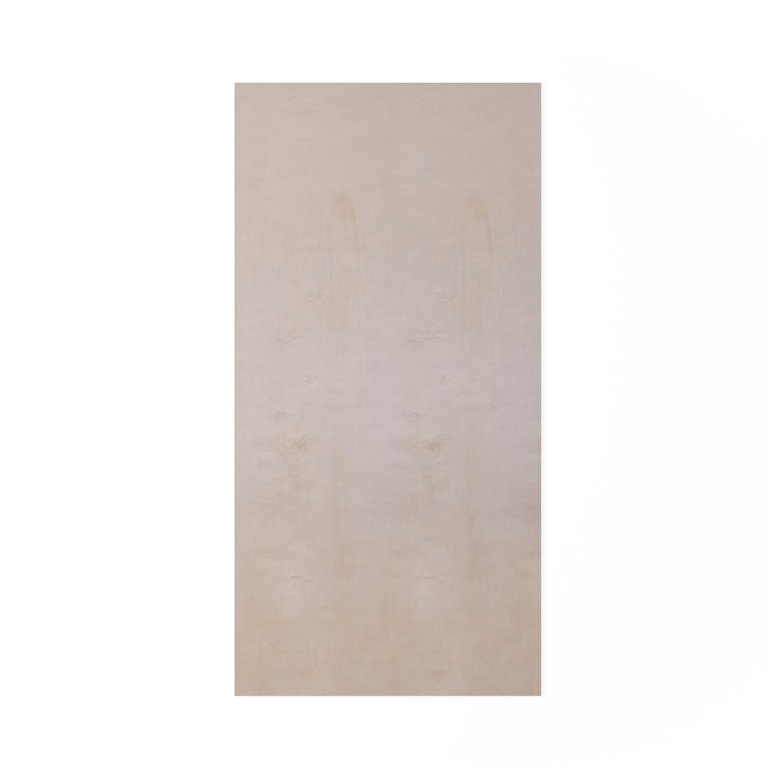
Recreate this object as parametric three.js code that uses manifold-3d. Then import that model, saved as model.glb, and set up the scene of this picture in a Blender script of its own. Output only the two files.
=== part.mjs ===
// A 4 ft by 8 ft sheet of rotary-cut hardwood plywood, nominal 3/4 in, veneer core.
//
// Millimetres, +Z up. The sheet lies flat on its back veneer, good face up. X runs
// across the sheet, Y along the face grain and Z through the thickness. The origin
// is the middle of the underside.
//
// The veneers are pressed and glued into one panel, so the sheet is one solid. What
// shows of the lay-up is its sawn edge: as the sheet dries, each ply draws back from
// the saw line across its own grain and stays put along it, so at the long edges the
// cross plies stand proud, and at the ends the long plies do.

import * as THREE from 'three';
import { mergeVertices } from 'three/addons/utils/BufferGeometryUtils.js';
import Module from 'manifold-3d';

// Driving dimensions

const SHEET_WIDTH = 1219.2; // 4 ft, across the face grain
const SHEET_LENGTH = 2438.4; // 8 ft, along the face grain
const BACK_VENEER = 0.6; // thickness after sanding
const FACE_VENEER = 0.6; // thickness after sanding
const CORE_VENEER = 3.41; // thickness of each, after pressing
const CORE_VENEERS = 5; // an odd number, so that both outer veneers run the same way
const GLUE_LINE = 0.1; // thickness of the resin between two plies
const SIDE_GRAIN_SETBACK = 0.12; // how far a ply draws back across its grain
const EASED_ARRIS = 0.25; // the light sanding along the rims of the face and back
const SAW_OVERRUN = 20; // how far the pressed blank runs past each saw line

const ALONG = 'along the sheet';
const ACROSS = 'across the sheet';

// The plies from the underside up. Each one crosses the ply below it.
function layUp() {
  const core = Array(CORE_VENEERS).fill(CORE_VENEER);
  let bottom = 0;
  return [BACK_VENEER, ...core, FACE_VENEER].map((thickness, place) => {
    const ply = { bottom, top: bottom + thickness, grain: place % 2 === 0 ? ALONG : ACROSS };
    bottom = ply.top;
    return ply;
  });
}

// One side of the section, from the underside up, at a distance from the sheet's
// middle. The plies whose end grain shows there reach the saw line. The others, and
// the glue lines, lie back from it.
function sawnSide(plies, sawLine, endGrain) {
  const setBack = sawLine - SIDE_GRAIN_SETBACK;
  const thickness = plies.at(-1).top;
  const points = [];
  if (plies[0].grain !== endGrain) {
    points.push(new THREE.Vector2(setBack, 0));
  }
  for (const ply of plies.filter(({ grain }) => grain === endGrain)) {
    const low = ply.bottom > 0 ? ply.bottom + GLUE_LINE / 2 : 0;
    const high = ply.top < thickness ? ply.top - GLUE_LINE / 2 : thickness;
    if (low > 0) {
      points.push(new THREE.Vector2(setBack, low));
    }
    points.push(new THREE.Vector2(sawLine, low), new THREE.Vector2(sawLine, high));
    if (high < thickness) {
      points.push(new THREE.Vector2(setBack, high));
    }
  }
  if (plies.at(-1).grain !== endGrain) {
    points.push(new THREE.Vector2(setBack, thickness));
  }
  easeArris(points, 0, 1);
  easeArris(points, points.length - 1, -1);
  return points;
}

// Replaces the corner at one end of a side with a small chamfer.
function easeArris(points, corner, up) {
  const sharp = points[corner];
  const onFace = new THREE.Vector2(sharp.x - EASED_ARRIS, sharp.y);
  const onEdge = new THREE.Vector2(sharp.x, sharp.y + up * EASED_ARRIS);
  points.splice(corner, 1, ...(up > 0 ? [onFace, onEdge] : [onEdge, onFace]));
}

// The whole section between two opposite saw cuts, as a closed outline.
function section(plies, sawLine, endGrain) {
  const right = sawnSide(plies, sawLine, endGrain);
  const left = right.map((point) => new THREE.Vector2(-point.x, point.y)).reverse();
  return new THREE.Shape([...right, ...left]);
}

// A blank of the given length whose section lies in XZ and which runs along Y.
function blank(outline, length) {
  const geometry = new THREE.ExtrudeGeometry(outline, { depth: length, bevelEnabled: false });
  geometry.rotateX(Math.PI / 2);
  geometry.translate(0, length / 2, 0);
  return geometry;
}

const wasm = await Module();
wasm.setup();

// A closed geometry as a solid that can be joined or cut.
function toSolid(geometry) {
  const bare = geometry.clone();
  bare.deleteAttribute('normal');
  bare.deleteAttribute('uv');
  const merged = mergeVertices(bare);
  const mesh = new wasm.Mesh({
    numProp: 3,
    vertProperties: new Float32Array(merged.attributes.position.array),
    triVerts: new Uint32Array(merged.index.array),
  });
  return new wasm.Manifold(mesh);
}

// A solid's vertices and triangles as a geometry, flat-shaded.
function toGeometry(solid) {
  const { vertProperties, triVerts } = solid.getMesh();
  const indexed = new THREE.BufferGeometry();
  indexed.setAttribute('position', new THREE.BufferAttribute(vertProperties, 3));
  indexed.setIndex(new THREE.BufferAttribute(triVerts, 1));
  const geometry = indexed.toNonIndexed();
  geometry.computeVertexNormals();
  return geometry;
}

// The sheet is what two pairs of saw cuts leave of the blank: one pair gives the
// long edges and the other the ends.
function plywoodSheet() {
  const plies = layUp();
  const longEdges = blank(section(plies, SHEET_WIDTH / 2, ACROSS), SHEET_LENGTH + 2 * SAW_OVERRUN);
  const ends = blank(section(plies, SHEET_LENGTH / 2, ALONG), SHEET_WIDTH + 2 * SAW_OVERRUN);
  ends.rotateZ(Math.PI / 2);

  const rotaryCutHardwood = new THREE.MeshStandardMaterial({
    color: 0xc6b6aa,
    roughness: 0.6,
    metalness: 0,
  });
  const sheet = new THREE.Mesh(
    toGeometry(toSolid(longEdges).intersect(toSolid(ends))),
    rotaryCutHardwood,
  );
  sheet.name = 'plywood_sheet';
  return sheet;
}

const group = new THREE.Group();
group.add(plywoodSheet());

export default group;
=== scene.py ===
# %% [markdown]
# # A sheet of rotary-cut hardwood plywood
#
# The sheet is 4 ft by 8 ft and 3/4 in thick: seven veneers, each crossing the one below it, pressed and
# glued into one panel, sanded, and sawn on all four sides. Its looks come from three surfaces: the peeled
# face, which unrolls a maple log like paper from a roll, the plain back, and the four sawn edges, where
# the plies show as stripes of end grain and side grain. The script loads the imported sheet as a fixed
# frame and builds the finished sheet in exactly the same place. Lengths are in metres.

import math

import bmesh
import bpy
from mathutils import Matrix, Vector


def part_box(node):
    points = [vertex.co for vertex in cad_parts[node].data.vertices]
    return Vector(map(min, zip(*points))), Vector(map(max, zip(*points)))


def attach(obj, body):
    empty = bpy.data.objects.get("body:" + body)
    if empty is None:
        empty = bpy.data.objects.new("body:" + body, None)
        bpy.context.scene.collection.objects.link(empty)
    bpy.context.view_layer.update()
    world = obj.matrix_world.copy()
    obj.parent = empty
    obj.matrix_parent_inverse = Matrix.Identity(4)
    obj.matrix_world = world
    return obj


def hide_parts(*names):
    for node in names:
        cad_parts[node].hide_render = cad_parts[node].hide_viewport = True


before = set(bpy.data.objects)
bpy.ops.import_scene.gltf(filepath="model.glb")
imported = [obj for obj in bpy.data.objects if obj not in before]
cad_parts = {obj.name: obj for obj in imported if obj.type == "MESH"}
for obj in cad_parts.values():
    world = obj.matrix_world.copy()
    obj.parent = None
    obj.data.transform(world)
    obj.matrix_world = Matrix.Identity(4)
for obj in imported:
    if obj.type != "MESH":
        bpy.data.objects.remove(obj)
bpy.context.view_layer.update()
_, sheet_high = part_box("plywood_sheet")
print("the sheet reaches", [round(x, 4) for x in sheet_high], "m from the middle of its underside")

# %% [markdown]
# ## Colours and nodes
#
# Paint and wood colours are easiest to judge as sRGB hex values, but a shader works on linear light, so
# one function turns one into the other. A second function adds a shader node with its settings and links.
# Every material below is made with it, so that each line reads as one step of the pattern. A Mix node
# keeps a set of sockets for each kind of data: for colours these are inputs 6 and 7 and output 2. Two
# more functions start a material and put an object in the scene.

# %% Helpers
MM = 0.001


def linear(hex_colour):
    """An sRGB hex colour as linear red, green, blue and alpha."""
    channels = [int(hex_colour[i : i + 2], 16) / 255 for i in (1, 3, 5)]
    light = [c / 12.92 if c <= 0.04045 else ((c + 0.055) / 1.055) ** 2.4 for c in channels]
    return (*light, 1.0)


def add(tree, kind, inputs=None, **settings):
    """Adds one shader node. inputs maps a socket's name or number to a value, or to an output to link."""
    made = tree.nodes.new("ShaderNode" + kind)
    for name, value in settings.items():
        setattr(made, name, value)
    for name, value in (inputs or {}).items():
        if isinstance(value, bpy.types.Node):
            value = value.outputs[0]
        if isinstance(value, bpy.types.NodeSocket):
            tree.links.new(value, made.inputs[name])
        else:
            made.inputs[name].default_value = value
    return made


def new_material(name):
    """An empty node material, with its node tree."""
    material = bpy.data.materials.new(name)
    material.use_nodes = True
    material.node_tree.nodes.clear()
    return material, material.node_tree


def new_object(name, data):
    """An object that holds the data, put in the scene."""
    made = bpy.data.objects.new(name, data)
    bpy.context.scene.collection.objects.link(made)
    return made


print("linear mid grey is", round(linear("#808080")[0], 3))

# %% [markdown]
# ## The lay-up
#
# Plywood is built up from the underside: a thin back veneer, five thick core veneers and a thin face
# veneer. Both outer veneers run along the sheet, and each ply crosses its neighbours. A ply keeps its
# length along its own grain and shrinks a little across it, so at any edge the plies that show end grain
# stand a hair proud of those that show side grain and of the glue lines. The list below holds each
# layer's top and its grain, which says how far the layer reaches, and the mesh is raised from it.

# %% Sizes of the layers
OUTER_VENEER = 0.6 * MM
CORE_VENEERS = 5
GLUE_LINE = 0.1 * MM
SIDE_GRAIN_SETBACK = 0.12 * MM
EASED_ARRIS = 0.25 * MM
ALONG, ACROSS, GLUE = "along", "across", "glue"

half_width, half_length = sheet_high.x, sheet_high.y
thickness = sheet_high.z
core_veneer = (thickness - 2 * OUTER_VENEER) / CORE_VENEERS
veneers = [OUTER_VENEER] + [core_veneer] * CORE_VENEERS + [OUTER_VENEER]

layers = []
level = 0.0
for place, veneer in enumerate(veneers):
    level += veneer
    last = place == len(veneers) - 1
    layers.append((level if last else level - GLUE_LINE / 2, ALONG if place % 2 == 0 else ACROSS))
    if not last:
        layers.append((level + GLUE_LINE / 2, GLUE))
print(len(veneers), "veneers,", len(layers), "layers with the glue,", round(level / MM, 2), "mm in all")

# %% [markdown]
# ## The sheet's mesh
#
# A sheet could be one box with a picture of plies on its sides. Here the outline of the underside is
# extruded upwards ring by ring instead, and each ring is moved out or in to where that layer ends, so the
# steps between plies are real edges that catch the light. Every ring's new faces get the material of the
# layer they belong to: the side grain or the end grain of a core veneer, or the glue.

# %% Raise the sheet ring by ring
FACE, BACK, SIDE_GRAIN, END_GRAIN, RESIN = range(5)
# So large that the least step in height outweighs the sheet's length.
HEIGHT_FIRST = 1e6
# Two places that are closer than this are the same place.
SAME_PLACE = 1e-7


def layer_reach(grain):
    """Half the width and half the length of a layer whose grain runs that way."""
    in_x = 0 if grain == ACROSS else SIDE_GRAIN_SETBACK
    in_y = 0 if grain == ALONG else SIDE_GRAIN_SETBACK
    return half_width - in_x, half_length - in_y


def move_ring(verts, half_x, half_y, z):
    """Puts a ring's four corners at the given half sizes and height."""
    for vert in verts:
        vert.co = Vector((math.copysign(half_x, vert.co.x), math.copysign(half_y, vert.co.y), z))


def raise_ring(bm, rim, half_x, half_y, z, choose):
    """Extrudes the rim's edges to a new ring and gives the new faces their material."""
    made = bmesh.ops.extrude_edge_only(bm, edges=rim)["geom"]
    move_ring([g for g in made if isinstance(g, bmesh.types.BMVert)], half_x, half_y, z)
    for face in (g for g in made if isinstance(g, bmesh.types.BMFace)):
        face.normal_update()
        face.material_index = choose(face)
    edges = [g for g in made if isinstance(g, bmesh.types.BMEdge)]
    return [edge for edge in edges if all(abs(v.co.z - z) < SAME_PLACE for v in edge.verts)
            and all(abs(abs(v.co.x) - half_x) < SAME_PLACE for v in edge.verts)]


def core_surface(grain):
    """A function that says which wood a side face of a core layer shows."""
    def choose(face):
        if grain == GLUE:
            return RESIN
        faces_x = abs(face.normal.x) > abs(face.normal.y)
        return END_GRAIN if faces_x == (grain == ACROSS) else SIDE_GRAIN
    return choose


def height_then_side(place):
    """A number that puts places in order of their height, and then of where they are round the sheet."""
    return place.z * HEIGHT_FIRST + place.x + 2 * place.y


# First the underside and its eased arris, then for each layer a small step in or out and the layer's
# side, and last the eased arris of the face and the face itself.
bm = bmesh.new()
bmesh.ops.create_grid(bm, x_segments=1, y_segments=1, size=1)
start_x, start_y = layer_reach(ALONG)
move_ring(bm.verts, start_x - EASED_ARRIS, start_y - EASED_ARRIS, 0)
for face in bm.faces:
    face.material_index = BACK
rim = list(bm.edges)
rim = raise_ring(bm, rim, start_x, start_y, EASED_ARRIS, lambda face: BACK)
for number, (top, grain) in enumerate(layers):
    outer = {0: BACK, len(layers) - 1: FACE}.get(number)
    choose = core_surface(grain) if outer is None else (lambda face, outer=outer: outer)
    half_x, half_y = layer_reach(grain)
    if number:
        rim = raise_ring(bm, rim, half_x, half_y, rim[0].verts[0].co.z, lambda face: RESIN)
    is_last = number == len(layers) - 1
    rim = raise_ring(bm, rim, half_x, half_y, top - (EASED_ARRIS if is_last else 0), choose)
rim = raise_ring(bm, rim, half_x - EASED_ARRIS, half_y - EASED_ARRIS, thickness, lambda face: FACE)
for face in bmesh.ops.edgeloop_fill(bm, edges=rim)["faces"]:
    face.material_index = FACE
bmesh.ops.recalc_face_normals(bm, faces=bm.faces)
# The operators leave the faces in no fixed order, so they are sorted, to make the same mesh each time.
bm.verts.sort(key=lambda vert: height_then_side(vert.co))
bm.edges.sort(key=lambda edge: height_then_side((edge.verts[0].co + edge.verts[1].co) / 2))
bm.faces.sort(key=lambda face: height_then_side(face.calc_center_median()))
print("the sheet has", len(bm.faces), "faces, watertight:", all(edge.is_manifold for edge in bm.edges))

# %% [markdown]
# ## A map for baking
#
# When the sheet is exported, its colours are baked into one square picture. Unwrapped to scale, an edge
# would be a few pixels high there, and its seven plies would blur into one. So the sheet brings its own
# map: the face and the back side by side, and below them the four edges in strips that are stretched in
# height.

# %% The bake map
BAKE_PIXELS = 1024
# In shares of the map's width.
STRIP_HEIGHT = 0.025
GAP = 0.003
TOP_AND_BACK_START = 3 * (STRIP_HEIGHT + GAP) + GAP


def bake_place(corner, middle, normal, material_index):
    """Where a corner of a face lies on the bake map. The face's middle says which strip the face is in."""
    across = (corner.x / half_width + 1) / 2
    along = (corner.y / half_length + 1) / 2
    if abs(normal.z) > 0.5 and material_index in (FACE, BACK):
        start = 0.5 if material_index == BACK else 0.0
        return (start + GAP + across * (0.5 - 2 * GAP),
                TOP_AND_BACK_START + along * (1 - GAP - TOP_AND_BACK_START))
    from_long_edge, from_end = half_width - abs(middle.x), half_length - abs(middle.y)
    inset = half_width - abs(corner.x) if from_long_edge < from_end else half_length - abs(corner.y)
    height = (corner.z + inset) / (thickness + SIDE_GRAIN_SETBACK) * STRIP_HEIGHT
    if from_long_edge < from_end:
        row = 0 if middle.x > 0 else 1
        return GAP + along * (1 - 2 * GAP), GAP + row * (STRIP_HEIGHT + GAP) + height
    start = 0.5 if middle.y > 0 else 0.0
    return start + GAP + across * (0.5 - 2 * GAP), GAP + 2 * (STRIP_HEIGHT + GAP) + height


bake_map = bm.loops.layers.uv.new("OFBake")
for face in bm.faces:
    middle = face.calc_center_median()
    for loop in face.loops:
        loop[bake_map].uv = bake_place(loop.vert.co, middle, face.normal, face.material_index)
print("an edge is", round(STRIP_HEIGHT * BAKE_PIXELS), "pixels high in a bake of", BAKE_PIXELS)

mesh = bpy.data.meshes.new("finished_sheet")
bm.to_mesh(mesh)
bm.free()
sheet = new_object("finished_sheet", mesh)

# %% [markdown]
# ## The peeled log
#
# A rotary lathe turns a log against a long knife, and the veneer comes off like paper from a roll. So a
# place on the face is a place on the log: across the sheet is the way round the log, and along the sheet
# is along the log. Each turn brings the same knots and stains round again, a little changed, because the
# knife has moved in by one veneer. A flat noise texture would never repeat like that. These nodes wrap
# the sheet's x round a cylinder and look up three-dimensional noise there, so the figure comes round
# again every turn with no seam.

# %% Sizes of the log, in millimetres
TURN = 530.0
RADIUS = TURN / (2 * math.pi)
KNIFE_STEP = 0.6
TURN_DRIFT = 3.0
HALF_WIDTH_MM = half_width / MM


def sheet_places(tree):
    """Where a place on the sheet was on the log: how far round from the left edge, and how far along."""
    place = add(tree, "TexCoord").outputs["Object"]
    place = add(tree, "VectorMath", {0: place, "Scale": 1 / MM}, operation="SCALE")
    parts = add(tree, "SeparateXYZ", {0: place})
    around = add(tree, "Math", {0: parts.outputs["X"], 1: HALF_WIDTH_MM}, operation="ADD")
    along = add(tree, "Math", {0: around, 1: TURN_DRIFT / TURN, 2: parts.outputs["Y"]},
                operation="MULTIPLY_ADD")
    return around, along


def inside_log(tree, around, along, seed):
    """The 3D point in the log, in millimetres. The knife is a little nearer the middle after each turn."""
    radius = add(tree, "Math", {0: around, 1: -KNIFE_STEP / TURN, 2: RADIUS}, operation="MULTIPLY_ADD")
    angle = add(tree, "Math", {0: around, 1: RADIUS}, operation="DIVIDE")
    arm = add(tree, "CombineXYZ", {0: radius})
    point = add(tree, "VectorRotate", {"Vector": arm, "Angle": angle}, rotation_type="Z_AXIS")
    lift = add(tree, "CombineXYZ", {2: add(tree, "Math", {0: along, 1: seed}, operation="ADD")})
    return add(tree, "VectorMath", {0: point, 1: lift}, operation="ADD")


def grain(tree, point, across_mm, along_mm, detail=2.0, roughness=0.5, distortion=0.0):
    """Wood figure whose streaks or clouds are about across_mm wide and along_mm long, centred on 0."""
    squashed = add(tree, "VectorMath", {0: point, 1: (1, 1, across_mm / along_mm)}, operation="MULTIPLY")
    noise = add(tree, "TexNoise", {"Vector": squashed, "Scale": 0.5 / across_mm, "Detail": detail,
                                   "Roughness": roughness, "Distortion": distortion})
    return add(tree, "Math", {0: noise.outputs["Fac"], 1: 0.5}, operation="SUBTRACT")


def from_mark(tree, around, along, mark):
    """How far across a place is from a mark on the log, and its distance in shares of the mark's size."""
    u, v, width, height, tilt = mark
    past = add(tree, "Math", {0: around, 1: u}, operation="SUBTRACT")
    across = add(tree, "Math", {0: past, 1: TURN / 2, 2: -TURN / 2}, operation="WRAP")
    above = add(tree, "Math", {0: along, 1: v}, operation="SUBTRACT")
    if tilt:
        above = add(tree, "Math", {0: across, 1: -tilt, 2: above}, operation="MULTIPLY_ADD")
    offset = add(tree, "CombineXYZ", {0: across, 1: above})
    offset = add(tree, "VectorMath", {0: offset, 1: (2 / width, 2 / height, 0)}, operation="MULTIPLY")
    return across, add(tree, "VectorMath", {0: offset}, operation="LENGTH").outputs["Value"]


print("the log is", round(2 * RADIUS), "mm thick, and the sheet unrolls", round(2 * HALF_WIDTH_MM / TURN, 2),
      "turns of it")

# %% [markdown]
# ## Pin knots
#
# Pin knots are cut-off twigs. Each is a speck with the grain swirling round it. A dark dot on straight
# grain would look printed on, so every knot also pulls the places round it towards itself and twists
# them, and all the figure that is drawn at those moved places bends round the knot by itself. The specks
# are broken into flecks by a finer noise.

# %% Swirls round the pin knots
# Round the log, along it, width, height, how dark the speck is, and how strongly the grain swirls.
PIN_KNOTS = [
    (262, -218, 92, 72, 0.22, 0.55),
    (180, 198, 72, 32, 0.16, 0.65),
    (254, 232, 50, 44, 0.0, 0.65),
    (300, 42, 62, 50, 0.12, 0.8),
    (180, -100, 76, 20, 0.26, 0.8),
    (125, -30, 56, 40, 0.0, 0.65),
    (245, -356, 50, 44, 0.10, 0.3),
    (246, -748, 76, 32, 0.18, 0.6),
    (306, 367, 90, 56, 0.0, 0.65),
    (256, 1154, 90, 66, 0.0, 0.75),
    (290, -1130, 60, 40, 0.06, 0.45),
    (28, 582, 60, 30, 0.0, 0.5),
    (283, 975, 50, 26, 0.0, 0.5),
    (15, 1170, 60, 30, 0.0, 0.5),
    (138, -653, 120, 40, 0.0, 0.4),
    (178, 825, 130, 90, 0.0, 0.3),
    (509, 96, 70, 50, 0.0, 0.35),
    (515, -76, 70, 60, 0.0, 0.35),
]
# How far a place beside a knot moves towards it and along the log, in shares of its distance across.
PULL, TWIST = 0.3, 0.5


def swirl(tree, around, along, knots):
    """Grain bent round the pin knots: the moved places, how much it swirls, and the dark specks."""
    bent_around, bent_along, swirling, specks = around, along, 0.0, 0.0
    for u, v, width, height, dark, strength in knots:
        across, far = from_mark(tree, around, along, (u, v, width, height, 0))
        near = add(tree, "MapRange", {"Value": far, "From Min": 3.0, "From Max": 0.2, "To Max": strength},
                   interpolation_type="SMOOTHERSTEP")
        swirling = add(tree, "Math", {0: swirling, 1: near}, operation="ADD")
        side = add(tree, "Math", {0: across, 1: near}, operation="MULTIPLY")
        bent_around = add(tree, "Math", {0: side, 1: -PULL, 2: bent_around}, operation="MULTIPLY_ADD")
        bent_along = add(tree, "Math", {0: side, 1: -TWIST, 2: bent_along}, operation="MULTIPLY_ADD")
        if dark:
            speck = add(tree, "MapRange", {"Value": far, "From Min": 1.0, "From Max": 0.1, "To Max": dark},
                        interpolation_type="SMOOTHERSTEP")
            specks = add(tree, "Math", {0: specks, 1: speck}, operation="ADD")
    flecks = grain(tree, inside_log(tree, around, along, 60.0), 7, 5, detail=1.0)
    flecks = add(tree, "MapRange", {"Value": flecks, "From Min": -0.12, "From Max": 0.08, "To Max": 1.4},
                 interpolation_type="SMOOTHERSTEP")
    return bent_around, bent_along, swirling, add(tree, "Math", {0: specks, 1: flecks}, operation="MULTIPLY")


print(len(PIN_KNOTS), "pin knots, each", round(2 * HALF_WIDTH_MM / TURN, 1), "times across the sheet")

# %% [markdown]
# ## Stains
#
# Sap and minerals stain maple in soft patches, tan or pale, beside knots and in long streaks up the log.
# They have no edge. Each is an ellipse that fades to nothing, with its own share of warm colour and of
# darkness, and they are added up, so that patches that overlap make shapes of no name. A few pale, cool
# patches across the middle are no stain: they are a painted reflection of the cool lamp.

# %% Stained and pale patches
# Round the log, along it, width, height and tilt, then how tan and how dark. Below 0 is paler and cooler.
STAINS_AND_SHEEN = [
    ((196, -214, 190, 84, 0.0), 0.09, 0.022),
    ((270, -216, 110, 106, 0.0), 0.08, 0.036),
    ((186, 172, 90, 60, 0.0), 0.10, 0.012),
    ((196, -92, 60, 30, 0.0), 0.10, 0.0),
    ((242, -366, 110, 120, 0.0), 0.09, 0.018),
    ((146, -474, 250, 130, 0.0), 0.04, 0.044),
    ((398, -320, 78, 660, 0.0), 0.11, 0.012),
    ((396, -700, 80, 620, 0.0), 0.07, 0.006),
    ((405, -520, 70, 120, 0.0), 0.05, 0.0),
    ((436, -680, 160, 180, 0.0), 0.10, 0.028),
    ((470, -800, 130, 260, 0.0), 0.05, 0.014),
    ((455, -505, 120, 110, 0.0), 0.04, 0.014),
    ((440, -980, 160, 560, 0.0), 0.07, 0.002),
    ((88, -940, 134, 640, 0.0), 0.13, 0.006),
    ((236, -842, 156, 190, 0.0), -0.12, -0.05),
    ((236, -684, 190, 90, 0.45), -0.04, -0.036),
    ((262, -800, 190, 260, 0.0), -0.05, -0.008),
    ((205, -628, 200, 26, 0.55), 0.0, 0.05),
    ((142, -648, 40, 40, 0.0), 0.08, 0.02),
    ((172, -1008, 70, 26, 0.3), 0.06, 0.03),
    ((352, -962, 90, 50, 0.4), 0.10, 0.022),
    ((306, -1186, 200, 74, 0.35), -0.16, -0.055),
    ((345, -1130, 90, 80, 0.3), -0.10, -0.026),
    ((330, -1000, 150, 240, 0.0), -0.08, -0.014),
    ((276, -1128, 90, 20, -0.4), 0.03, 0.036),
    ((30, -800, 110, 480, 0.0), 0.02, 0.022),
    ((90, -270, 140, 400, 0.0), -0.10, 0.01),
    ((340, 960, 260, 700, 0.0), 0.0, -0.012),
    # These two are no stain: they paint the cool lamp's reflection as pale, cool patches across the middle.
    ((40, 0, 220, 800, 0.0), -0.20, -0.002),
    ((300, 60, 240, 300, 0.0), -0.12, -0.006),
    ((190, 905, 130, 150, 0.0), -0.05, -0.012),
    ((205, 960, 260, 560, 0.0), -0.02, -0.012),
    ((60, 240, 160, 360, 0.0), 0.0, 0.007),
    ((420, 360, 170, 400, 0.0), 0.09, 0.006),
    ((398, 300, 90, 110, 0.0), 0.06, 0.014),
    ((330, 242, 380, 13, 0.24), 0.02, 0.04),
    ((322, 356, 90, 22, 0.3), 0.03, 0.04),
    ((100, 312, 110, 22, 0.0), 0.0, 0.02),
    # These go all the way round the log. The pale, cool one across the middle is a painted reflection of the
    # cool lamp, and the tan one nearer the far end keeps that painted band narrow.
    ((265, 1020, 1700, 700, 0.0), 0.0, -0.022),
    ((265, 820, 1700, 900, 0.0), 0.036, 0.002),
    ((265, 10, 1700, 380, 0.0), -0.09, -0.005),
    ((265, -440, 1700, 480, 0.0), 0.03, 0.046),
    ((265, -890, 1700, 260, 0.0), -0.025, -0.005),
]
# How strongly the stains darken the wood at the left edge and at the right edge. The rise to the right is
# painted shade of the key lamp's fall-off.
SHADE_TOWARDS_RIGHT = (0.6, 1.35)


def stained(tree, around, along, stains):
    """How tan and how dark the wood is made, with soft edges: stains, with some painted reflection and
    painted shade.
    """
    tan = dark = 0.0
    for mark, tanned, darkened in stains:
        across, far = from_mark(tree, around, along, mark)
        stain = add(tree, "MapRange", {"Value": far, "From Min": 1.5, "From Max": 0.0},
                    interpolation_type="SMOOTHERSTEP")
        tan = add(tree, "Math", {0: stain, 1: tanned, 2: tan}, operation="MULTIPLY_ADD")
        dark = add(tree, "Math", {0: stain, 1: darkened, 2: dark}, operation="MULTIPLY_ADD")
    # The stains darken more towards the right edge: painted shade of the key lamp's fall-off across the
    # sheet.
    shade_towards_right = add(tree, "MapRange", {"Value": around, "From Max": 2 * HALF_WIDTH_MM, "To Min": SHADE_TOWARDS_RIGHT[0],
                                    "To Max": SHADE_TOWARDS_RIGHT[1]})
    return tan, add(tree, "Math", {0: dark, 1: shade_towards_right}, operation="MULTIPLY")


print(len(STAINS_AND_SHEEN), "stains and pale patches")

# %% [markdown]
# ## The heartwood flame
#
# Heartwood is darker than sapwood, and where a dip in the log brings it up to the knife it shows as a
# flame: a tan tip, with the growth rings nested round it like fingers in a glove. Its outline is a blunt
# arch that widens quickly below the tip and then hardly at all, as a small power of the distance does. A
# mask drawn for each ring would be hard to keep parallel. So each place is first measured by how far it
# is outside the arch, and that distance then draws everything.

# %% Distance from the flame's arch
# How far round the log its middle is, how far along its tip is, and half its width at WIDTH_DEPTH below it.
FLAME = (431, 742, 56)
WIDTH_DEPTH = 100.0
ARCH_POWER = 0.14
TIP_ROUNDING = 100.0


def from_arch(tree, around, along, wander):
    """How far a place is across from the flame's middle, below its tip and outside its arch."""
    u, tip, half = FLAME
    across, _ = from_mark(tree, around, along, (u, tip, half, half, 0))
    across = add(tree, "Math", {0: wander, 1: across}, operation="ADD")
    below = add(tree, "Math", {0: tip, 1: along}, operation="SUBTRACT")
    above = add(tree, "Math", {0: along, 1: tip}, operation="SUBTRACT")
    inward = add(tree, "Math", {0: below, 1: 0.0, 2: TIP_ROUNDING}, operation="SMOOTH_MAX")
    outward = add(tree, "Math", {0: above, 1: 0.0, 2: TIP_ROUNDING}, operation="SMOOTH_MAX")
    arch = add(tree, "Math", {0: inward, 1: WIDTH_DEPTH}, operation="DIVIDE")
    arch = add(tree, "Math", {0: arch, 1: ARCH_POWER}, operation="POWER")
    away = add(tree, "CombineXYZ", {0: across, 1: outward})
    away = add(tree, "VectorMath", {0: away, 1: (1, 0.6, 0)}, operation="MULTIPLY")
    away = add(tree, "VectorMath", {0: away}, operation="LENGTH").outputs["Value"]
    return across, below, add(tree, "Math", {0: arch, 1: -half, 2: away}, operation="MULTIPLY_ADD")


print("the flame's tip is", round(half_length / MM - FLAME[1]), "mm from the far end")

# %% [markdown]
# ## What shows in the flame
#
# The tip is filled with tan, and the body below it has only the faint stain that the list of stains gives
# it. Two stronger streaks run down from the tip, and thin ring lines follow the legs. The rings are one
# noise along the distance from the arch, so each is parallel to the last, and they fade away from the
# flame and towards the near end of the sheet. Streaks and rings are clearest on the right-hand leg.

# %% Flame
RING_SPACING = 9.0
# Where each streak lies across the flame or inside its arch, half its width, its length, and how tan it is.
MIDDLE_STREAK = (6, 12, 130, 0.15)
LEG_STREAK = (-8, 15, 270, 0.14)
STREAK_DARKNESS = 0.4


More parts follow.
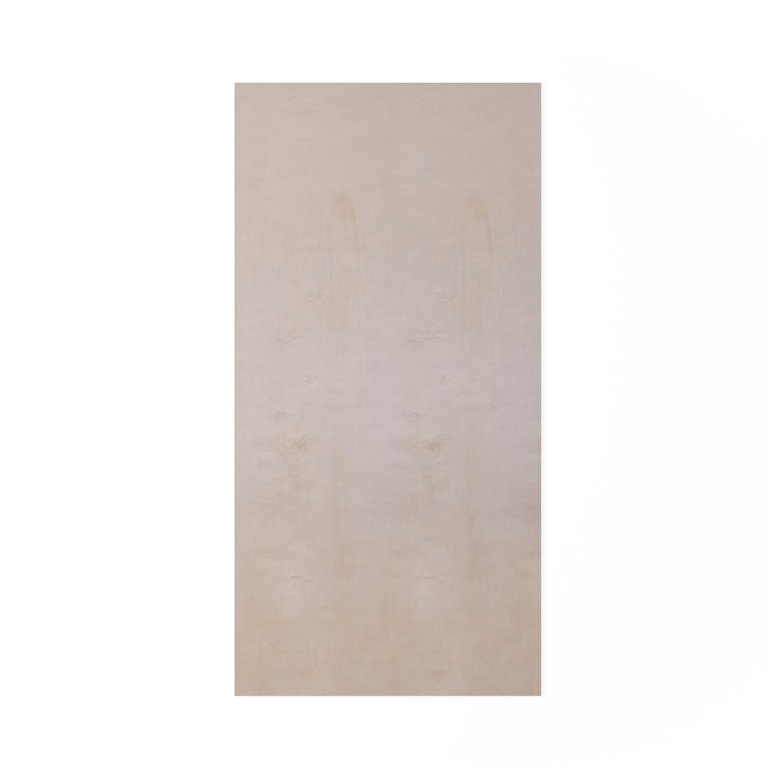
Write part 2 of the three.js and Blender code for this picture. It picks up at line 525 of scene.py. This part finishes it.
def flame(tree, around, along, wander):
    """How tan the flame is, and how light or dark its ring lines and streaks are."""
    across, below, outside = from_arch(tree, around, along, wander)
    inside = add(tree, "MapRange", {"Value": outside, "From Min": 12.0, "From Max": -26.0},
                 interpolation_type="SMOOTHERSTEP")
    tip_only = add(tree, "MapRange", {"Value": below, "From Min": 110.0, "From Max": 20.0, "To Max": 0.17},
                   interpolation_type="SMOOTHERSTEP")
    tan = add(tree, "Math", {0: inside, 1: tip_only}, operation="MULTIPLY")

    streaks = 0.0
    for place, (middle, half_wide, length, strength) in ((across, MIDDLE_STREAK), (outside, LEG_STREAK)):
        aside = add(tree, "Math", {0: place, 1: middle}, operation="SUBTRACT")
        aside = add(tree, "Math", {0: aside}, operation="ABSOLUTE")
        streak = add(tree, "MapRange", {"Value": aside, "From Min": half_wide, "To Max": strength},
                     interpolation_type="SMOOTHERSTEP")
        ended = add(tree, "MapRange", {"Value": below, "From Min": length, "From Max": 0.6 * length},
                    interpolation_type="SMOOTHERSTEP")
        streak = add(tree, "Math", {0: streak, 1: ended}, operation="MULTIPLY")
        streaks = add(tree, "Math", {0: streaks, 1: streak}, operation="ADD")
    started = add(tree, "MapRange", {"Value": below, "From Min": -30.0, "From Max": 60.0},
                  interpolation_type="SMOOTHERSTEP")
    right = add(tree, "MapRange", {"Value": across, "From Min": -16.0, "From Max": 4.0, "To Min": 0.15})
    for share in (right, started):
        streaks = add(tree, "Math", {0: streaks, 1: share}, operation="MULTIPLY")
    tan = add(tree, "Math", {0: tan, 1: streaks}, operation="ADD")

    ring = add(tree, "TexNoise", {"W": outside, "Scale": 1 / RING_SPACING, "Detail": 1.0},
               noise_dimensions="1D")
    ring = add(tree, "Math", {0: ring.outputs["Fac"], 1: 0.5}, operation="SUBTRACT")
    nearby = add(tree, "MapRange", {"Value": outside, "From Min": 70.0, "From Max": 0.0},
                 interpolation_type="SMOOTHERSTEP")
    fading = add(tree, "MapRange", {"Value": below, "From Min": 1600.0, "From Max": 100.0},
                 interpolation_type="SMOOTHERSTEP")
    clearer = add(tree, "MapRange", {"Value": across, "From Min": -30.0, "From Max": 10.0, "To Min": 0.7})
    for share in (nearby, started, fading, clearer):
        ring = add(tree, "Math", {0: ring, 1: share}, operation="MULTIPLY")
    return tan, add(tree, "Math", {0: streaks, 1: -STREAK_DARKNESS, 2: ring}, operation="MULTIPLY_ADD")


print("growth rings beside the flame are", RING_SPACING, "mm apart")

# %% [markdown]
# ## Straight grain
#
# Maple is pale, dense and even, and its pores are too small to see across a room. What shows along the
# sheet is faint: hairlines where the knife lifted the fibres, and broad streaks of paler and darker
# years. One noise with many octaves would give every size the same stretch. Real fibres, vessels and
# streaks each have their own length and width, so each is a noise of its own.

# %% Fibres along the sheet
HAIRLINE_MM = 3.5
REAL_HAIRLINE_MM = 0.5


def fibres(tree, point, lively):
    """Straight grain: hairlines, fine fibres, vessels and broad streaks, all along the sheet."""
    # Hairlines are really about 0.5 mm apart. They are drawn 3.5 mm apart, to show from across a room.
    hairline = grain(tree, point, HAIRLINE_MM, 58, detail=1.5, roughness=0.7)
    # They come and go in patches, where the knife cut cleanly or lifted the fibres.
    lifted = add(tree, "Math", {0: grain(tree, point, 34, 60, detail=2.0), 1: 4.5, 2: 0.95},
                 operation="MULTIPLY_ADD")
    lifted = add(tree, "Clamp", {"Value": lifted, "Min": 0.3, "Max": 1.7})
    for share in (lifted, lively):
        hairline = add(tree, "Math", {0: hairline, 1: share}, operation="MULTIPLY")
    # Single fibres, and the cut vessels among them as short brown dashes, show only close up.
    fine = grain(tree, point, 0.8, 18, detail=2.0, roughness=0.65)
    vessel = add(tree, "MapRange", {"Value": grain(tree, point, 0.6, 9, detail=1.0), "From Min": 0.07,
                                    "From Max": 0.2})
    return hairline, fine, vessel, grain(tree, point, 22, 600)


print("hairlines are drawn", round(HAIRLINE_MM / REAL_HAIRLINE_MM), "times too far apart")

# %% [markdown]
# ## Curly grain
#
# Where the fibres rise and dip, the knife cuts them at a slant, and light falls on the two sides of each
# small curl differently. A bump map alone would show this only in raking light. So the slope is also
# painted: the curl noise minus the same noise a few millimetres lower is bright on one side of a curl and
# dark on the other.

# %% Waves and curls
SLOPE_STEP = 5.0


def waves(tree, around, along, swirling, lively, seed):
    """Curly grain: soft waves across the sheet, and the bright and dark slopes of small curls."""
    point = inside_log(tree, around, along, seed)
    cloud = grain(tree, point, 110, 160)
    patchy = grain(tree, point, 150, 120)
    rise = add(tree, "Math", {0: cloud, 1: 90.0, 2: along}, operation="MULTIPLY_ADD")
    point = inside_log(tree, around, rise, seed + 700)
    wave = grain(tree, point, 48, 24, detail=2.0, roughness=0.45)
    curl = grain(tree, point, 13, 10, detail=1.0, roughness=0.6, distortion=0.5)
    lower = add(tree, "Math", {0: rise, 1: SLOPE_STEP}, operation="ADD")
    lower = inside_log(tree, around, lower, seed + 700)
    lower = grain(tree, lower, 13, 10, detail=1.0, roughness=0.6, distortion=0.5)
    slope = add(tree, "Math", {0: curl, 1: lower}, operation="SUBTRACT")

    patchy = add(tree, "Math", {0: patchy, 1: 2.0, 2: 0.7}, operation="MULTIPLY_ADD", use_clamp=True)
    lively = add(tree, "Math", {0: lively, 1: patchy}, operation="MULTIPLY")
    wavy = add(tree, "Math", {0: swirling, 1: 0.4, 2: lively}, operation="MULTIPLY_ADD")
    wavy = add(tree, "Math", {0: wave, 1: wavy}, operation="MULTIPLY")
    curly = add(tree, "Math", {0: lively, 1: 0.4, 2: swirling}, operation="MULTIPLY_ADD")
    slope = add(tree, "Math", {0: slope, 1: curly}, operation="MULTIPLY")
    relief = add(tree, "Math", {0: curl, 1: curly}, operation="MULTIPLY")
    return cloud, wavy, slope, relief


print("a curl's bright and dark sides are", SLOPE_STEP, "mm apart")

# %% [markdown]
# ## A greyed rim
#
# The outer few millimetres of the sheet are drawn a little grey, most along the left edge and the far
# end. The distance from the nearest edge is the smaller of the distances from two sides, so a plain
# minimum draws the rim for two sides at a time, and no mask has to be painted.

# %% Rim
RIM_MM = 6.0
RIM_GREY = linear("#A09794")


def greyed_rim(tree, wood):
    """The wood, a little grey along the rim, most along the left edge and the far end."""
    place = add(tree, "TexCoord").outputs["Object"]
    for inward, greyness in (((1, -1, 0), 0.5), ((-1, 1, 0), 0.2)):
        depth = add(tree, "VectorMath", {0: place, 1: inward, 2: (half_width, half_length, 0)},
                    operation="MULTIPLY_ADD")
        depth = add(tree, "SeparateXYZ", {0: depth})
        depth = add(tree, "Math", {0: depth.outputs["X"], 1: depth.outputs["Y"]}, operation="MINIMUM")
        grey = add(tree, "MapRange", {"Value": depth, "From Min": RIM_MM * MM, "From Max": 0.5 * RIM_MM * MM,
                                      "To Max": greyness})
        wood = add(tree, "Mix", {"Factor": grey, 6: wood, 7: RIM_GREY}, data_type="RGBA").outputs[2]
    return wood


print("the grey rim is", RIM_MM, "mm wide")

# %% [markdown]
# ## The face and the back: sanded rotary-cut maple
#
# All the layers are only a few steps away from one pale colour. Each adds its own share to one
# brightness, and three colour mixes do the rest: cooler or warmer sapwood, tan heartwood, and brown in
# the knots. That keeps every layer's strength in one list, where it can be weighed against the others.
# The cooler mix is partly the sapwood's own tone and partly a painted sheen of the cool lamp.
# The wood is sanded and has no finish on it, so it is a dull satin, and its refractive index is near 1.5,
# which is the shader's own default.

# %% The face and the back
SAPWOOD = linear("#CFB9A6")
# The cool colour that the wood is mixed towards: partly the sapwood's own tone, partly a painted sheen of
# the cool lamp.
COOL_SAPWOOD_AND_SHEEN = linear("#CEBFB7")
HEARTWOOD_TAN = linear("#CBA989")
KNOT_BROWN = linear("#9E7464")
# The back comes from a plainer stretch of the log, which has only a few faint knots and stains.
BACK_KNOTS = PIN_KNOTS[-4:]
BACK_STAINS = STAINS_AND_SHEEN[5:9]
# How far noise moves the whole figure, the outlines of stains and the flame, in millimetres.
FIGURE_WANDER = 14.0
STREAK_WANDER, STAIN_WANDER, STAIN_SEEP = 40.0, 130.0, 100.0
FLAME_RAGGEDNESS, FLAME_BEND, FLAME_KINK = 30.0, 40.0, 26.0


def maple_face(name, seed, marked):
    """Rotary-cut maple veneer, sanded. marked puts this log's own knots, stains and flame on it."""
    material, tree = new_material(name)
    around, along = sheet_places(tree)
    knots, stains = (PIN_KNOTS, STAINS_AND_SHEEN) if marked else (BACK_KNOTS, BACK_STAINS)
    around, along, swirling, specks = swirl(tree, around, along, knots)
    wander = grain(tree, inside_log(tree, around, along, seed + 300), 60, 90, detail=2.5, roughness=0.6)
    around = add(tree, "Math", {0: wander, 1: FIGURE_WANDER, 2: around}, operation="MULTIPLY_ADD")
    # The far end of the log is plainer than the rest.
    lively = add(tree, "MapRange", {"Value": along, "From Min": 950.0, "From Max": 420.0, "To Min": 0.55},
                 interpolation_type="SMOOTHERSTEP")
    hairline, fine, vessel, streak = fibres(tree, inside_log(tree, around, along, seed), lively)
    cloud, wavy, slope, relief = waves(tree, around, along, swirling, lively, seed)

    # Stains seep through the wood unevenly, so their outlines wander both ways.
    feathered = add(tree, "Math", {0: streak, 1: STREAK_WANDER, 2: around}, operation="MULTIPLY_ADD")
    uneven = grain(tree, inside_log(tree, around, along, seed + 500), 50, 70, detail=2.5)
    feathered = add(tree, "Math", {0: uneven, 1: STAIN_WANDER, 2: feathered}, operation="MULTIPLY_ADD")
    seeping = grain(tree, inside_log(tree, around, along, seed + 1700), 36, 60, detail=2.0)
    seeped = add(tree, "Math", {0: seeping, 1: STAIN_SEEP, 2: along}, operation="MULTIPLY_ADD")
    tan, dark = stained(tree, feathered, seeped, stains)
    mottled = grain(tree, inside_log(tree, around, along, seed + 1300), 40, 60, detail=2.0)
    warm = add(tree, "MapRange", {"Value": along, "From Min": -300.0, "From Max": -850.0, "To Min": 0.1,
                                  "To Max": 0.6}, interpolation_type="SMOOTHERSTEP")
    mottled = add(tree, "Math", {0: mottled, 1: warm}, operation="MULTIPLY")
    tan = add(tree, "Math", {0: tan, 1: mottled}, operation="ADD")
    # The wood is a little redder where it swirls.
    tan = add(tree, "Math", {0: swirling, 1: 0.05, 2: tan}, operation="MULTIPLY_ADD")
    layers_of_tone = [(hairline, 0.135), (fine, 0.06), (vessel, -0.05), (streak, 0.03), (cloud, 0.02),
                      (wavy, 0.24), (slope, 0.41), (swirling, -0.012), (dark, -1.0)]
    if marked:
        # The flame's own edge follows the fibres, so it is ragged and bends with them.
        ragged = add(tree, "Math", {0: hairline, 1: FLAME_RAGGEDNESS, 2: along}, operation="MULTIPLY_ADD")
        bent = add(tree, "Math", {0: cloud, 1: FLAME_BEND}, operation="MULTIPLY")
        kinked = grain(tree, inside_log(tree, around, along, seed + 900), 24, 56)
        bent = add(tree, "Math", {0: kinked, 1: FLAME_KINK, 2: bent}, operation="MULTIPLY_ADD")
        heart, rings = flame(tree, around, ragged, bent)
        tan = add(tree, "Math", {0: tan, 1: heart}, operation="ADD")
        layers_of_tone.append((rings, 0.18))
    bright = 1.0
    for layer, share in layers_of_tone:
        bright = add(tree, "Math", {0: layer, 1: share, 2: bright}, operation="MULTIPLY_ADD")

    # The wood is cooler everywhere but near the near end: partly the sapwood's own tone, partly a painted
    # sheen of the cool lamp.
    cool = add(tree, "MapRange", {"Value": along, "From Min": -1150.0, "From Max": -350.0, "To Max": 0.7},
               interpolation_type="SMOOTHERSTEP")
    for layer, share in ((cloud, -0.5), (streak, -0.4), (tan, -1.5)):
        cool = add(tree, "Math", {0: layer, 1: share, 2: cool}, operation="MULTIPLY_ADD")
    cool = add(tree, "Clamp", {"Value": cool})
    tan = add(tree, "Clamp", {"Value": tan})
    wood = add(tree, "Mix", {"Factor": cool, 6: SAPWOOD, 7: COOL_SAPWOOD_AND_SHEEN}, data_type="RGBA").outputs[2]
    wood = add(tree, "Mix", {"Factor": tan, 6: wood, 7: HEARTWOOD_TAN}, data_type="RGBA").outputs[2]
    wood = add(tree, "Mix", {"Factor": specks, 6: wood, 7: KNOT_BROWN}, data_type="RGBA").outputs[2]
    wood = add(tree, "VectorMath", {0: wood, "Scale": bright}, operation="SCALE")
    wood = greyed_rim(tree, wood)

    dullness = add(tree, "Math", {0: hairline, 1: 0.12, 2: 0.42}, operation="MULTIPLY_ADD")
    relief = add(tree, "Math", {0: hairline, 1: 0.05, 2: relief}, operation="MULTIPLY_ADD")
    relief = add(tree, "Math", {0: fine, 1: 0.05, 2: relief}, operation="MULTIPLY_ADD")
    relief = add(tree, "Math", {0: vessel, 1: -0.03, 2: relief}, operation="MULTIPLY_ADD")
    bump = add(tree, "Bump", {"Height": relief, "Distance": 1.0 * MM, "Strength": 0.5})
    shader = add(tree, "BsdfPrincipled", {"Base Color": wood, "Roughness": dullness, "Normal": bump})
    add(tree, "OutputMaterial", {"Surface": shader})
    return material


# To the eye: a pale, even sheet with faint lines along it, soft waves that come and go, and no shine.
face_wood = maple_face("sanded rotary-cut maple, face", 0.0, True)
# The same, and plainer.
back_wood = maple_face("sanded rotary-cut maple, back", 4000.0, False)
print("the face material has", len(face_wood.node_tree.nodes), "nodes")

# %% [markdown]
# ## The sawn edges: core veneers and resin
#
# At an edge every other ply shows its end grain, which drinks light through its open cells and looks
# darker and rougher, and the plies between show side grain. The core veneers are peeled too, so their
# growth rings lie nearly flat in the ply and run along the edge as fine wandering lines. A panel saw
# leaves faint upright lines across all the plies. The sum of x and y serves as the place along an edge,
# since one of the two stays the same on it.

# %% Core veneer materials
RING_MM = 0.9
SAW_MARK_MM = 2.4
# Each ply shows its own stretch of the log, this far from the last one's.
PLY_OFFSET_MM = 911.0


def core_wood(name, light, dark, along_mm, roughness):
    """Sawn core veneer, with the growth rings as lines along the edge."""
    material, tree = new_material(name)
    place = add(tree, "TexCoord").outputs["Object"]
    place = add(tree, "VectorMath", {0: place, "Scale": 1 / MM}, operation="SCALE")
    parts = add(tree, "SeparateXYZ", {0: place})
    edge = add(tree, "Math", {0: parts.outputs["X"], 1: parts.outputs["Y"]}, operation="ADD")
    ply = add(tree, "Math", {0: parts.outputs["Z"], 1: core_veneer / MM}, operation="DIVIDE")
    ply = add(tree, "Math", {0: ply, 1: -OUTER_VENEER / core_veneer}, operation="ADD")
    ply = add(tree, "Math", {0: ply}, operation="FLOOR")
    own = add(tree, "Math", {0: ply, 1: PLY_OFFSET_MM, 2: edge}, operation="MULTIPLY_ADD")
    slow = add(tree, "TexNoise", {"W": own, "Scale": 1 / 90, "Detail": 2.0}, noise_dimensions="1D")
    depth = add(tree, "Math", {0: slow.outputs["Fac"], 1: 9.0, 2: parts.outputs["Z"]},
                operation="MULTIPLY_ADD")
    line = add(tree, "CombineXYZ", {0: own, 1: depth})
    line = add(tree, "VectorMath", {0: line, 1: (1 / along_mm, 1 / RING_MM, 1)}, operation="MULTIPLY")
    rings = add(tree, "TexNoise", {"Vector": line, "Scale": 1.0, "Detail": 4.0, "Roughness": 0.65})
    patch = add(tree, "TexNoise", {"W": own, "Scale": 1 / 400, "Detail": 0.0}, noise_dimensions="1D")
    sawn = add(tree, "TexNoise", {"W": edge, "Scale": 1 / SAW_MARK_MM, "Detail": 2.0}, noise_dimensions="1D")
    tone = 0.0
    for layer, share in ((rings, 1.0), (patch, 0.7), (slow, 0.3), (sawn, 0.15)):
        tone = add(tree, "Math", {0: layer.outputs["Fac"], 1: share, 2: tone}, operation="MULTIPLY_ADD")
    mixed = add(tree, "MapRange", {"Value": tone, "From Min": 0.66, "From Max": 1.5},
                interpolation_type="SMOOTHERSTEP")
    colours = {"Factor": mixed, 6: linear(dark), 7: linear(light)}
    wood = add(tree, "Mix", colours, data_type="RGBA").outputs[2]
    relief = add(tree, "Math", {0: sawn.outputs["Fac"], 1: 0.5, 2: rings.outputs["Fac"]},
                 operation="MULTIPLY_ADD")
    bump = add(tree, "Bump", {"Height": relief, "Distance": 0.1 * MM, "Strength": 0.5})
    shader = add(tree, "BsdfPrincipled", {"Base Color": wood, "Roughness": roughness, "Normal": bump})
    add(tree, "OutputMaterial", {"Surface": shader})
    return material


# To the eye: smooth pale stripes with long fine lines, where the knife-cut fibres lie along the edge.
side_grain = core_wood("sawn side grain of core veneer", "#ECD9C0", "#CDAE8C", 60.0, 0.6)
# Darker, matt stripes with a short broken grain, because the open cells drink the light.
end_grain = core_wood("sawn end grain of core veneer", "#CBA685", "#9E7658", 5.0, 0.8)
# Thin brown lines with a slight gleam, which part one ply from the next.
resin = core_wood("hardened glue line", "#92705A", "#694E3E", 30.0, 0.5)

for material in (face_wood, back_wood, side_grain, end_grain, resin):
    sheet.data.materials.append(material)
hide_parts("plywood_sheet")
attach(sheet, "root")
print("materials on the sheet:", [m.name for m in sheet.data.materials])

# %% [markdown]
# ## The camera
#
# The sheet lies flat, so the camera hangs over it and looks straight down. A long lens, high up, keeps
# the edges out of sight. The height isn't guessed: it follows from the lens and from how many pixels wide
# the sheet should be in the picture.

# %% Camera
FRAME_PIXELS = 768
SHEET_PIXELS = 306.6
SHEET_CENTRE_PIXEL = (387.9, 389.4)
LENS_MM, SENSOR_MM = 85.0, 36.0

metres_per_pixel = 2 * half_width / SHEET_PIXELS
camera_height = thickness + metres_per_pixel * FRAME_PIXELS * LENS_MM / SENSOR_MM
camera_data = bpy.data.cameras.new("camera")
camera_data.lens = LENS_MM
camera_data.sensor_width = SENSOR_MM
camera_data.clip_end = 100.0
camera = new_object("camera", camera_data)
camera.location = ((FRAME_PIXELS / 2 - SHEET_CENTRE_PIXEL[0]) * metres_per_pixel,
                   (SHEET_CENTRE_PIXEL[1] - FRAME_PIXELS / 2) * metres_per_pixel, camera_height)
bpy.context.scene.camera = camera
print("the camera hangs", round(camera_height, 2), "m up")

# %% [markdown]
# ## Lamps and world
#
# A big soft lamp on the left lights the sheet, and the world fills the rest. A cool lamp hangs across the
# middle, high up by the camera: the satin face mirrors it as a broad pale band. The world could be white
# for all rays, but then it would wash the sheet out. Only rays that are seen, straight from the camera or
# in a mirror or through glass, find it white, and for the light on the sheet it is a plain grey.

# %% Lamps
FILL = 0.36


def softbox(name, size_x, size_y, place, aim, watts, colour):
    """A rectangular area lamp at a place, turned to a point, that the camera doesn't see."""
    data = bpy.data.lights.new(name, "AREA")
    data.shape = "RECTANGLE"
    data.size, data.size_y = size_x, size_y
    data.energy = watts
    data.color = linear(colour)[:3]
    lamp = new_object(name, data)
    lamp.location = place
    lamp.rotation_euler = (Vector(aim) - Vector(place)).to_track_quat("-Z", "Y").to_euler()
    lamp.visible_camera = False
    return lamp


def seen_rays(tree):
    """1 for a ray that is seen, straight, in a mirror or through glass, and 0 for one that lights things."""
    path = add(tree, "LightPath")
    seen = path.outputs["Is Camera Ray"]
    for ray in ("Is Glossy Ray", "Is Transmission Ray"):
        seen = add(tree, "Math", {0: seen, 1: path.outputs[ray]}, operation="MAXIMUM")
    return seen


lamps = [softbox("key softbox", 3.0, 3.0, (-3.2, 0.6, 4.6), (0, 0, 0), 150, "#FFFBF7"),
         softbox("cool strip", 1.6, 0.5, (0.0, -0.12, 6.0), (0, -0.12, 0), 61, "#CFE0FF")]

world = bpy.data.worlds.new("studio")
world.use_nodes = True
bpy.context.scene.world = world
sky = world.node_tree
sky.nodes.clear()
strength = add(sky, "MapRange", {"Value": seen_rays(sky), "To Min": FILL, "To Max": 1.0})
background = add(sky, "Background", {"Color": (1, 1, 1, 1), "Strength": strength})
add(sky, "OutputWorld", {"Surface": background})
print("lamps:", [lamp.name for lamp in lamps], "and a world of", FILL)

# %% [markdown]
# ## Floor
#
# The floor is a plain pale surface that the camera sees as white, except where the sheet's shadow falls
# on it. Pure emission would hide that shadow and pure paint would come out grey, so it is some of both:
# it glows most far from the sheet, where it has to meet the white world. It lies a hair under the sheet,
# because two surfaces in the same place flicker.

# %% Floor
FLOOR_GAP = 0.2 * MM
FLOOR_HALF_SIZE = 40.0

bm = bmesh.new()
bmesh.ops.create_grid(bm, x_segments=1, y_segments=1, size=FLOOR_HALF_SIZE)
bmesh.ops.translate(bm, vec=(0, 0, -FLOOR_GAP), verts=bm.verts)
floor_mesh = bpy.data.meshes.new("studio_floor")
bm.to_mesh(floor_mesh)
bm.free()
studio_floor = new_object("studio_floor", floor_mesh)
# To the eye: an even matt white without gloss, on which only the shadow shows.
floor_paint, tree = new_material("matt white floor paint")
seen = seen_rays(tree)
spread = add(tree, "VectorMath", {0: add(tree, "TexCoord").outputs["Object"]}, operation="LENGTH")
glow = add(tree, "MapRange", {"Value": spread.outputs["Value"], "From Min": 1.5, "From Max": 5.0,
                              "To Min": 0.8, "To Max": 1.0})
glow = add(tree, "Math", {0: glow, 1: seen}, operation="MULTIPLY")
paint = add(tree, "Mix", {"Factor": seen, 6: linear("#E4E2DF"), 7: linear("#8C8C8C")},
            data_type="RGBA").outputs[2]
shader = add(tree, "BsdfPrincipled", {"Base Color": paint, "Roughness": 1.0, "Specular IOR Level": 0.0,
                                      "Emission Color": (1, 1, 1, 1), "Emission Strength": glow})
add(tree, "OutputMaterial", {"Surface": shader})
studio_floor.data.materials.append(floor_paint)
print("the floor is", round(FLOOR_GAP / MM, 1), "mm under the sheet")

# %% [markdown]
# ## Finish
#
# Colours are shown as they are, with no film look. The finished sheet has to fill the frame's box and
# no more.

# %% Colour view and the end
bpy.context.scene.view_settings.view_transform = "Standard"
